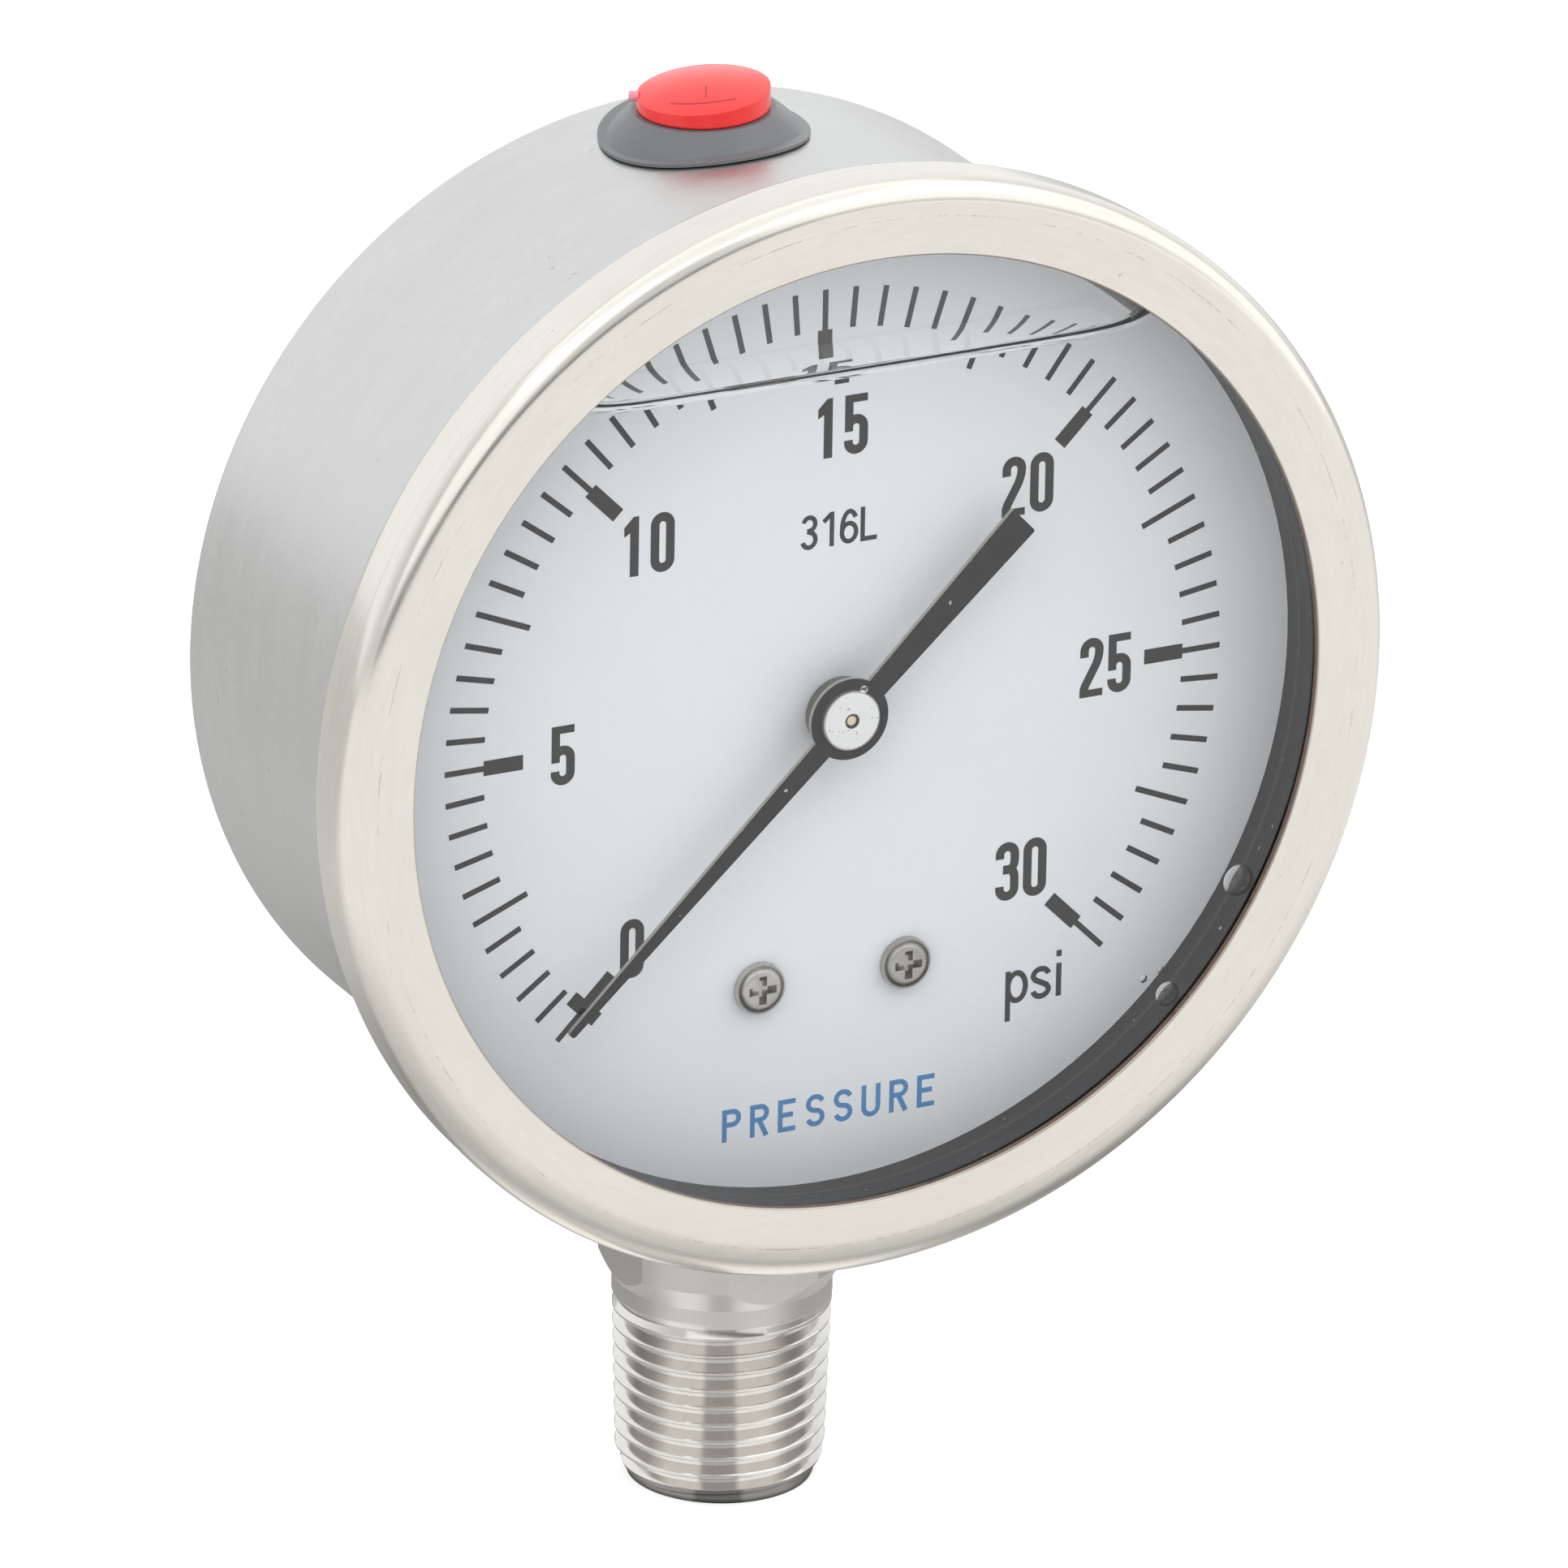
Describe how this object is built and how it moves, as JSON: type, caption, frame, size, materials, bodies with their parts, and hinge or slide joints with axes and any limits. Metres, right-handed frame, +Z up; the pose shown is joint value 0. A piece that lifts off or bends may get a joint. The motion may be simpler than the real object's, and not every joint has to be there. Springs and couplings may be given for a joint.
{
  "type": "pressure gauge",
  "caption": "Liquid-filled dial pressure gauge with a round steel case, rolled bezel, black pointer, vent plug and a bottom male pipe thread.",
  "frame": {"origin": "centre of the end face of the threaded connection, which is the mouth of the pressure port", "axes": "+Z up along the stem towards the case, -Y out of the dial towards the reader, +X to the reader's right"},
  "size_m": [0.1094, 0.0458, 0.1411],
  "materials": {
    "case_steel": "satin brushed stainless steel, brushed round the case",
    "bezel_steel": "fine satin stainless steel, a little warm",
    "machined_steel": "bright turned stainless steel",
    "window": "clear laminated safety glass",
    "black_rubber": "matte black rubber",
    "grey_rubber": "blue-grey rubber",
    "dial_white": "matte white paint",
    "dial_print": "charcoal print",
    "blue_print": "blue print",
    "screw_steel": "bright steel screw",
    "pointer_black": "matte black paint",
    "cap_silver": "turned, near white silver",
    "movement_brass": "machined brass",
    "movement_steel": "stamped stainless steel",
    "red_plastic": "glossy red plastic",
    "tube_steel": "drawn stainless steel tube"
  },
  "bodies": {
    "case": {"case_shell": "case_steel", "bezel_ring": "bezel_steel", "window_glass": "window", "window_gasket": "black_rubber", "dial_plate": "dial_white", "dial_screws": "screw_steel", "dial_posts": "movement_brass", "socket": "machined_steel", "restrictor_screw": "movement_brass", "pressure_tube": "tube_steel", "sector_bushings": "movement_brass", "pinion_bushings": "movement_brass", "movement_back_plate": "movement_steel", "movement_front_plate": "movement_steel", "plate_pillars": "movement_brass", "plate_screws": "screw_steel", "holder_screws": "screw_steel", "hairspring": "movement_brass", "hairspring_stud": "movement_brass", "fill_grommet": "grey_rubber"},
    "tube_tip": {"tube_end_piece": "movement_steel", "tip_link_pin": "screw_steel"},
    "sector": {"sector_gear": "movement_steel", "sector_arbor": "screw_steel", "sector_link_pin": "screw_steel"},
    "link": {"link_bar": "movement_steel"},
    "pointer": {"pinion_arbor": "movement_brass", "hairspring_collet": "movement_brass", "pointer_hub": "pointer_black", "pointer_blade": "pointer_black", "pointer_cap": "cap_silver"},
    "vent_plug": {"vent_plug": "red_plastic"}
  },
  "joints": [
    {"name": "sector_turn", "type": "hinge", "parent": "case", "child": "sector", "pos_m": [0.01581, 0, 0.06894], "axis": [0, 1, 0], "range_deg": [-21.6, 0], "stiffness_Nm_per_rad": 0.05},
    {"name": "pointer_turn", "type": "hinge", "parent": "case", "child": "pointer", "pos_m": [0, 0, 0.0865], "axis": [0, 1, 0], "range_deg": [0, 270], "deforming": ["hairspring"]},
    {"name": "link_swing", "type": "hinge", "parent": "sector", "child": "link", "pos_m": [0.0233, 0, 0.06613], "axis": [0, 1, 0], "range_deg": [0, 21.6]},
    {"name": "tube_tip_travel", "type": "slide", "parent": "case", "child": "tube_tip", "axis": [0.1702, 0, 0.9854], "range_m": [0, 0.003], "deforming": ["pressure_tube"]},
    {"name": "vent_plug_lift", "type": "slide", "parent": "case", "child": "vent_plug", "axis": [-0.0332, 0, 0.9995], "range_m": [0, 0.006]}
  ],
  "couplings": [
    {"joint": "pointer_turn", "follows": "sector_turn", "ratio": -12.5},
    {"joint": "link_swing", "follows": "sector_turn", "ratio": -1},
    {"joint": "tube_tip_travel", "follows": "sector_turn", "m_per_rad": -0.0079527}
  ]
}
